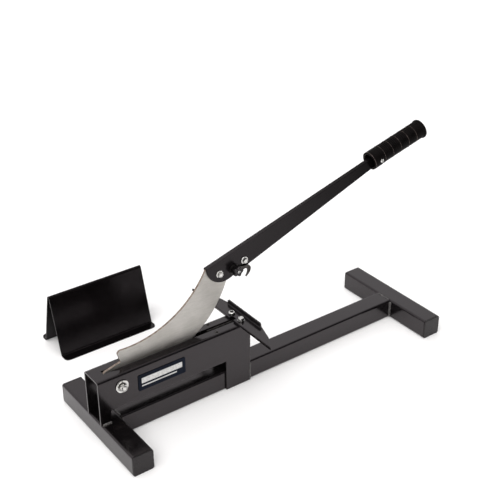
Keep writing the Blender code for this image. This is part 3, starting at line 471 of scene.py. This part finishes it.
LOOKS = {
    "front_foot_tube": PAINT, "rear_foot_tube": PAINT, "spine_tube": PAINT, "housing": PAINT,
    "front_foot_cap_near": CAP, "front_foot_cap_far": CAP,
    "rear_foot_cap_near": CAP, "rear_foot_cap_far": CAP,
    "label_plate": LABEL, "blade_guide_near": DARK, "blade_guide_far": DARK,
    "guide_screw_near": DARK, "guide_screw_far": DARK,
    "pivot_bolt": ZINC, "pivot_nut": ZINC, "pivot_washer_near": ZINC, "pivot_washer_far": ZINC,
    "pivot_spacer_near": DARK, "pivot_spacer_far": DARK,
    "fence": PAINT, "fence_pivot_bolt": ZINC, "fence_clamp_bolt": ZINC,
    "fence_washer_near": ZINC, "fence_washer_far": ZINC, "fence_spacer_near": DARK, "fence_spacer_far": DARK,
    "lever": PAINT_ARM, "blade": BLADE, "lever_bolt_front": ZINC, "lever_bolt_rear": ZINC,
    "lever_nut_front": ZINC, "lever_nut_rear": ZINC, "latch_stud": ZINC,
    "latch_hook": DARK, "latch_knob": KNOB, "grip": GRIP, "grip_screw": ZINC, "stand": PAINT_STAND,
}
for node_name, look in LOOKS.items():
    mesh = nodes[node_name].data
    mesh.materials.clear()
    mesh.materials.append(look)
    mesh.set_sharp_from_angle(angle=math.radians(30))

# ------------------------------------------------------------------ piece helpers

AXES = {
    "-Y": Matrix.Rotation(math.pi / 2, 4, "X"),
    "Y": Matrix.Rotation(-math.pi / 2, 4, "X"),
    "Z": Matrix.Identity(4),
    "-Z": Matrix.Rotation(math.pi, 4, "X"),
}


def middle(node):
    lo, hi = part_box(node)
    return (lo + hi) / 2


def add_piece(name, work, look, body, sharp=30):
    """Turns bmesh work, in world coordinates, into a finished piece."""
    bmesh.ops.recalc_face_normals(work, faces=work.faces)
    mesh = bpy.data.meshes.new(name)
    work.to_mesh(mesh)
    work.free()
    mesh.materials.append(look)
    mesh.shade_smooth()
    mesh.set_sharp_from_angle(angle=math.radians(sharp))
    piece = bpy.data.objects.new(name, mesh)
    scene.collection.objects.link(piece)
    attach(piece, body)
    return piece


def loft(work, rings, caps=True):
    """Skins rings of equal length and, with caps, closes both ends."""
    made = [[work.verts.new(point) for point in ring] for ring in rings]
    for below, above in zip(made, made[1:]):
        for i in range(len(below)):
            j = (i + 1) % len(below)
            work.faces.new((below[i], below[j], above[j], above[i]))
    if caps:
        work.faces.new(made[0][::-1])
        work.faces.new(made[-1])


def ring_at(height, radius, steps=48):
    """A ring about Z. radius is a number, or a function of the angle."""
    points = []
    for i in range(steps):
        turn = 2 * math.pi * i / steps
        r = radius(turn) if callable(radius) else radius
        points.append(Vector((r * math.cos(turn), r * math.sin(turn), height)))
    return points


def hex_radius(flats, limit=1.0, spin=0.0):
    """Radius of a hexagon by angle, cut back to a circle of limit times its corners."""
    corner = flats / math.sqrt(3)

    def radius(turn):
        off_flat = (turn + spin + math.pi / 6) % (math.pi / 3) - math.pi / 6
        return min(flats / 2 / math.cos(off_flat), limit * corner)

    return radius


def threaded(work, radius, start, end, pitch, steps=24):
    """A screw thread about Z: rings whose radius rises and falls once a pitch as they turn."""
    rings = []
    count = max(4, round((end - start) / pitch * 6))
    for k in range(count + 1):
        height = start + (end - start) * k / count
        fade = min(1.0, (end - height) / pitch)

        def edge(turn, height=height, fade=fade):
            phase = (height / pitch - turn / (2 * math.pi)) % 1.0
            return radius - 0.55 * pitch * abs(2 * phase - 1) * 0.6 - (1 - fade) * 0.35 * pitch

        rings.append(ring_at(height, edge, steps))
    loft(work, rings)


def hex_rings(flats, base, height, spin=0.0, recess=0.0):
    """A hexagonal head or nut standing on base, chamfered at its outer corners, with a domed top."""
    corner = flats / math.sqrt(3)
    chamfer = (corner - flats / 2) * math.tan(math.radians(30))
    top = base + height
    rings = [
        ring_at(base, hex_radius(flats, 0.985, spin)),
        ring_at(base + 0.0002, hex_radius(flats, 1, spin)),
    ]
    for k in range(5):
        share = k / 4
        limit = 1 - (1 - flats * 0.47 / corner) * share
        rings.append(ring_at(top - chamfer * (1 - share), hex_radius(flats, limit, spin)))
    rings.append(ring_at(top, 0.42 * flats))
    if recess:
        rings += [ring_at(top - recess, 0.39 * flats), ring_at(top - recess, 0.2 * flats)]
    return rings


def place(work, at, axis):
    bmesh.ops.transform(work, matrix=Matrix.Translation(at) @ AXES[axis], verts=work.verts)


# ------------------------------------------------------------------ fasteners


def make_pivot_bolt():
    """Hex bolt through the housing: nut and threaded end on the near side, head on the far side."""
    at = middle("pivot_bolt")
    at.y = 0
    nut_lo, nut_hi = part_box("pivot_nut")
    bolt_lo, bolt_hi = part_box("pivot_bolt")
    washer_lo, washer_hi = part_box("pivot_washer_near")
    far_lo, far_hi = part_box("pivot_washer_far")
    flats = (nut_hi.x - nut_lo.x) * math.sqrt(3) / 2
    radius = 0.3 * flats
    for name, inner, outer, axis in (
        ("pivot_washer_near_disc", -washer_hi.y, -washer_lo.y, "-Y"),
        ("pivot_washer_far_disc", far_lo.y, far_hi.y, "Y"),
    ):
        wide = (washer_hi.x - washer_lo.x) / 2
        work = bmesh.new()
        rim = 0.0003
        rings = [
            ring_at(inner, radius + 0.0003, 64),
            ring_at(inner, wide - rim, 64),
            ring_at(inner + rim, wide, 64),
            ring_at(outer - rim, wide, 64),
            ring_at(outer, wide - 1.6 * rim, 64),
            ring_at(outer - 0.0001, 0.75 * wide, 64),
            ring_at(outer, radius + 0.0006, 64),
            ring_at(outer - rim, radius + 0.0003, 64),
        ]
        loft(work, rings + rings[:1], caps=False)
        bmesh.ops.remove_doubles(work, verts=work.verts, dist=1e-7)
        place(work, at, axis)
        piece = add_piece(name, work, ZINC, "base")
        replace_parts(piece, name.removesuffix("_disc"))
    work = bmesh.new()
    loft(work, hex_rings(flats, -nut_hi.y, nut_hi.y - nut_lo.y, 0.35, 0.0006))
    place(work, at, "-Y")
    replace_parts(add_piece("pivot_nut_hex", work, ZINC, "base", 20), "pivot_nut")
    work = bmesh.new()
    threaded(work, radius, -nut_hi.y, -bolt_lo.y, 0.00125)
    place(work, at, "-Y")
    shaft = bmesh.new()
    loft(shaft, [ring_at(nut_lo.y, radius), ring_at(far_hi.y, radius)])
    head = bmesh.new()
    loft(head, hex_rings(flats, far_hi.y + 0.0001, bolt_hi.y - far_hi.y - 0.0001, 0.1, 0.0004))
    for part in (shaft, head):
        place(part, at, "Y")
        merge_into(work, part)
    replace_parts(add_piece("pivot_bolt_shank", work, ZINC, "base", 20), "pivot_bolt")


def merge_into(work, part):
    mesh = bpy.data.meshes.new("part")
    part.to_mesh(mesh)
    part.free()
    work.from_mesh(mesh)
    bpy.data.meshes.remove(mesh)


def make_lever_bolts():
    """Flanged hex bolts on the near wall, nuts and threaded ends on the far wall."""
    wall_lo, wall_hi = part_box("lever")
    for label, spin in (("front", 0.2), ("rear", 0.5)):
        node, nut = f"lever_bolt_{label}", f"lever_nut_{label}"
        lo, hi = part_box(node)
        nut_lo, nut_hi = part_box(nut)
        at = middle(node)
        at.y = 0
        wide = (hi.x - lo.x) / 2
        seat, top = -wall_lo.y + 0.0002, -lo.y
        flange = 0.22 * (top - seat)
        flats = 1.18 * wide
        work = bmesh.new()
        rings = [
            ring_at(seat, 0.96 * wide),
            ring_at(seat + 0.0002, wide),
            ring_at(seat + 0.5 * flange, wide),
            ring_at(seat + 0.75 * flange, 0.97 * wide),
            ring_at(seat + 1.25 * flange, 0.74 * wide),
        ]
        rings += hex_rings(flats, seat + 1.3 * flange, top - seat - 1.3 * flange, spin, 0.0005)
        loft(work, rings)
        place(work, at, "-Y")
        shank = bmesh.new()
        threaded(shank, 0.42 * wide, nut_lo.y, hi.y, 0.001)
        place(shank, at, "Y")
        merge_into(work, shank)
        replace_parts(add_piece(node + "_head", work, ZINC, "arm", 20), node)
        work = bmesh.new()
        nut_flats = (nut_hi.x - nut_lo.x) * math.sqrt(3) / 2
        loft(work, hex_rings(nut_flats, nut_lo.y, nut_hi.y - nut_lo.y, spin, 0.0004))
        place(work, at, "Y")
        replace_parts(add_piece(nut + "_hex", work, ZINC, "arm", 20), nut)


def make_latch_parts():
    """The stud's head and shank, and the lobed knob with its metal insert."""
    wall_lo, wall_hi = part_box("lever")
    knob_lo, knob_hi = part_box("latch_knob")
    stud_lo, stud_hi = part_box("latch_stud")
    at = middle("latch_knob")
    at.y = 0
    inner, outer = -knob_hi.y, -knob_lo.y
    wide = (knob_hi.x - knob_lo.x) / 2
    lobes, depth = 5, 0.13

    def lobed(scale, depth=depth):
        return lambda turn: scale * wide * (1 - depth + depth * math.cos(lobes * turn))

    tall = outer - inner
    profile = (
        (0.00, 0.80, 0.04),
        (0.04, 0.86, 0.06),
        (0.22, 0.88, 0.07),
        (0.34, 0.97, depth),
        (0.40, 1.00, depth),
        (0.80, 1.00, depth),
        (0.91, 0.97, depth),
        (0.97, 0.90, depth),
        (1.00, 0.82, 0.9 * depth),
        (1.00, 0.62, 0.4 * depth),
        (0.93, 0.56, 0.0),
        (0.90, 0.36, 0.0),
    )
    work = bmesh.new()
    loft(work, [ring_at(inner + share * tall, lobed(scale, cut), 80) for share, scale, cut in profile])
    place(work, at, "-Y")
    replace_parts(add_piece("latch_knob_lobed", work, KNOB, "knob", 40), "latch_knob")
    work = bmesh.new()
    insert = 0.26 * wide
    rings = [
        ring_at(outer - 0.12 * tall, insert),
        ring_at(outer - 0.02 * tall, insert),
        ring_at(outer + 0.01 * tall, 0.90 * insert),
    ]
    rings += [ring_at(outer + 0.01 * tall, 0.66 * insert), ring_at(outer - 0.05 * tall, 0.62 * insert)]
    loft(work, rings)
    place(work, at, "-Y")
    add_piece("latch_knob_insert", work, ZINC, "knob", 25)
    work = bmesh.new()
    flats = (stud_hi.x - stud_lo.x) * math.sqrt(3) / 2
    loft(work, hex_rings(flats, wall_hi.y + 0.0002, stud_hi.y - wall_hi.y - 0.0002, 0.3, 0.0004))
    place(work, at, "Y")
    shank = bmesh.new()
    loft(shank, [ring_at(-wall_hi.y, 0.3 * flats), ring_at(outer - 0.14 * tall, 0.3 * flats)])
    place(shank, at, "-Y")
    merge_into(work, shank)
    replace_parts(add_piece("latch_stud_head", work, ZINC, "arm", 20), "latch_stud")


def make_fence_bolts():
    """A low socket button at the pivot end of the fence and a hex head at its clamped end."""
    lo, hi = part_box("fence_pivot_bolt")
    at = middle("fence_pivot_bolt")
    at.z = 0
    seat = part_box("fence_washer_far")[1].z + 0.0001
    wide, tall = (hi.x - lo.x) / 2, 0.72 * (hi.z - seat)
    top = seat + tall
    socket = hex_radius(1.15 * wide)
    work = bmesh.new()
    rings = [ring_at(seat, 0.97 * wide), ring_at(seat + 0.25 * tall, wide)]
    for k in range(7):
        tilt = math.radians(12 + 13 * k)
        height = seat + tall * (0.25 + 0.75 * math.sin(tilt) ** 0.8)
        rings.append(ring_at(height, wide * (0.70 + 0.30 * math.cos(tilt))))
    rings += [
        ring_at(top, socket),
        ring_at(top - 0.80 * tall, socket),
        ring_at(top - 0.84 * tall, 0.25 * wide),
    ]
    loft(work, rings)
    place(work, at, "Z")
    shank = bmesh.new()
    threaded(shank, 0.5 * wide, -seat + 0.0001, -lo.z, 0.001)
    place(shank, at, "-Z")
    merge_into(work, shank)
    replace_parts(add_piece("fence_pivot_button", work, ZINC, "base", 25), "fence_pivot_bolt")

    lo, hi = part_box("fence_clamp_bolt")
    at = middle("fence_clamp_bolt")
    at.z = 0
    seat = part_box("fence_washer_near")[1].z + 0.0001
    work = bmesh.new()
    loft(work, hex_rings((hi.x - lo.x) * math.sqrt(3) / 2, seat, hi.z - seat, 0.45, 0.0005))
    place(work, at, "Z")
    shank = bmesh.new()
    threaded(shank, 0.003, -seat + 0.0001, -lo.z, 0.001)
    place(shank, at, "-Z")
    merge_into(work, shank)
    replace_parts(add_piece("fence_clamp_hex", work, ZINC, "base", 20), "fence_clamp_bolt")


def make_guide_screws():
    """Countersunk screws with a hexagon socket."""
    for label in ("near", "far"):
        node = f"guide_screw_{label}"
        lo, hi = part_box(node)
        at = middle(node)
        at.z = 0
        wide = (hi.x - lo.x) / 2
        socket = hex_radius(0.95 * wide)
        work = bmesh.new()
        rings = [
            ring_at(lo.z, 0.45 * wide, 36),
            ring_at(hi.z - 0.52 * wide, 0.53 * wide, 36),
            ring_at(hi.z - 0.0003, wide, 36),
            ring_at(hi.z, 0.96 * wide, 36),
            ring_at(hi.z, 0.64 * wide, 36),
            ring_at(hi.z - 0.0001, socket, 36),
            ring_at(hi.z - 0.0016, socket, 36),
        ]
        loft(work, rings)
        place(work, at, "Z")
        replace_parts(add_piece(node + "_socket", work, DARK, "base", 25), node)


# ------------------------------------------------------------------ grip


def make_grip():
    """Moulded grip: open collar, ribbed back, raised seam lines and an end flange."""
    screw = middle("grip_screw")
    tilt, along, start, length = GRIP_TILT, GRIP_AXIS, GRIP_START, GRIP_RUN - GRIP_SHORTER
    up = Vector((-math.sin(tilt), 0, math.cos(tilt)))
    flange = GRIP_FLANGE
    radius = GRIP_RADIUS
    collar = 0.021
    seams = GRIP_SEAMS
    end_flange = length - 0.0055
    steps = 96

    def body_radius(distance):
        r = radius
        if distance < collar:
            r += 0.0009 * min(1.0, (collar - distance) / 0.0015)
        if distance > end_flange - 0.004:
            r += 0.0008 * ((distance - end_flange + 0.004) / 0.004) ** 2
        return r

    def skin(distance, turn):
        r = body_radius(distance)
        top = max(0.0, math.cos(turn - math.pi / 2)) ** 0.7
        if collar < distance < end_flange - 0.002:
            ribs = math.sin(2 * math.pi * (distance - collar) / 0.0041)
            r += 0.00090 * top * max(-0.25, ribs)
            nubs = math.sin(2 * math.pi * (distance - collar) / 0.0022) * math.sin(30 * turn)
            r += 0.00014 * (1 - top) * nubs
        for seam in seams:
            r += 0.00042 * math.exp(-(((distance - seam) / 0.00042) ** 2))
        return r

    def ring(distance, scale_to=None):
        points = []
        for i in range(steps):
            turn = 2 * math.pi * i / steps
            r = scale_to if scale_to is not None else skin(distance, turn)
            outward = math.cos(turn) * Vector((0, -1, 0)) + math.sin(turn) * up
            points.append(start + along * distance + r * outward)
        return points

    mouth, depth = 0.0140, 0.0090
    rings = [ring(depth, 0.006), ring(depth, mouth - 0.0006), ring(depth - 0.0006, mouth)]
    rings += [ring(0.0008, mouth)]
    rings += [ring(0.0, mouth + 0.0006), ring(0.0, radius + 0.0003), ring(0.0006, radius + 0.0009)]
    distance = 0.0010
    while distance < end_flange:
        near_seam = min(abs(distance - seam) for seam in seams)
        rings.append(ring(distance))
        distance += 0.00018 if near_seam < 0.0010 else 0.00045
    rings += [
        ring(end_flange, flange - 0.0009),
        ring(end_flange + 0.0004, flange - 0.0002),
        ring(end_flange + 0.0010, flange),
        ring(end_flange + 0.0032, flange),
        ring(end_flange + 0.0042, flange - 0.0006),
        ring(end_flange + 0.0048, flange - 0.0018),
        ring(end_flange + 0.0051, flange - 0.0040),
        ring(end_flange + 0.0047, flange - 0.0055),
        ring(end_flange + 0.0046, 0.006),
    ]
    work = bmesh.new()
    loft(work, rings)
    piece = add_piece("grip_moulding", work, GRIP, "arm", 50)
    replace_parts(piece, "grip")

    head_lo, head_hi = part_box("grip_screw")
    wide = (head_hi.x - head_lo.x) / 2
    top, base = -head_lo.y, -head_lo.y - 0.0022
    work = bmesh.new()
    rings = [ring_at(base - 0.0010, 0.96 * wide), ring_at(base + 0.0004, wide)]
    for k in range(5):
        share = k / 4
        height = base + 0.0006 + (top - base - 0.0006) * math.sin(share * 1.45)
        rings.append(ring_at(height, wide * math.cos(share * 1.15)))
    rings += [ring_at(top - 0.0001, 0.30 * wide), ring_at(top - 0.0009, 0.24 * wide)]
    loft(work, rings)
    screw.y = 0
    place(work, screw, "-Y")
    shank = bmesh.new()
    loft(shank, [ring_at(-head_hi.y, 0.5 * wide), ring_at(base, 0.5 * wide)])
    place(shank, screw, "-Y")
    merge_into(work, shank)
    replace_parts(add_piece("grip_screw_head", work, ZINC, "arm", 25), "grip_screw")


# ------------------------------------------------------------------ welds


def weld(name, start, end, normal, size=0.0042):
    """A rippled bead from start to end, lying in the corner that normal points out of."""
    start, end, normal = Vector(start), Vector(end), Vector(normal).normalized()
    along = end - start
    length = along.length
    along.normalize()
    across = along.cross(normal).normalized()
    count = max(8, round(length / 0.0006))
    seed = Vector((start.x * 37 + 3.1, start.y * 53, start.z * 41))
    rings = []
    for k in range(count + 1):
        distance = length * k / count
        wander = noise.noise(seed + Vector((distance * 210, 0, 0)))
        ripple = abs(math.sin(math.pi * distance / 0.0021 + 0.8 * wander))
        taper = min(1.0, 0.35 + min(distance, length - distance) / 0.0025)
        r = size * taper * (0.80 + 0.16 * ripple + 0.16 * wander)
        sway = 0.0004 * noise.noise(seed + Vector((0, distance * 150, 0)))
        middle_at = start + along * distance + across * sway
        points = []
        for i in range(14):
            turn = 2 * math.pi * i / 14
            grain = Vector((distance * 900, math.cos(turn) * 2, math.sin(turn) * 2))
            lump = 1 + 0.07 * noise.noise(seed + grain)
            outward = 0.95 * math.cos(turn) * across + 0.62 * math.sin(turn) * normal
            points.append(middle_at + r * lump * outward)
        rings.append(points)
    work = bmesh.new()
    loft(work, rings)
    return add_piece(name, work, WELD, "base", 70)


def make_welds():
    front_lo, front_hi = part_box("front_foot_tube")
    rear_lo, rear_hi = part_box("rear_foot_tube")
    spine_lo, spine_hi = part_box("spine_tube")
    house_lo, house_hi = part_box("housing")
    deck, inset = front_hi.z, 0.003
    leg_end = front_hi.x - 0.0195
    for label, y, side in (("near", house_lo.y, -1), ("far", house_hi.y, 1)):
        weld(
            f"weld_leg_{label}",
            (house_lo.x + inset, y + side * 0.0004, deck + 0.0006),
            (leg_end - 0.001, y + side * 0.0004, deck + 0.0006),
            (0, side, 1),
        )
        edge = side * abs(spine_lo.y)
        weld(
            f"weld_rear_foot_{label}",
            (rear_lo.x - 0.0006, edge + side * 0.0006, inset),
            (rear_lo.x - 0.0006, edge + side * 0.0006, deck - inset),
            (-1, side, 0),
        )
        weld(
            f"weld_front_foot_{label}",
            (front_hi.x + 0.0006, edge + side * 0.0006, inset),
            (front_hi.x + 0.0006, edge + side * 0.0006, deck - inset),
            (1, side, 0),
        )
        weld(
            f"weld_housing_{label}",
            (house_hi.x + 0.0004, edge + side * 0.0012, inset),
            (house_hi.x + 0.0004, edge + side * 0.0012, deck - 0.001),
            (1, side, 0),
            0.0042,
        )
    for label, x, side in (("front", front_hi.x, 1), ("rear", rear_lo.x, -1)):
        weld(
            f"weld_top_{label}",
            (x + side * 0.0002, spine_lo.y + 0.004, deck - 0.0002),
            (x + side * 0.0002, spine_hi.y - 0.004, deck - 0.0002),
            (0, 0, 1),
            0.0022,
        )


make_pivot_bolt()
make_lever_bolts()
make_latch_parts()
make_fence_bolts()
make_guide_screws()
make_grip()
make_welds()
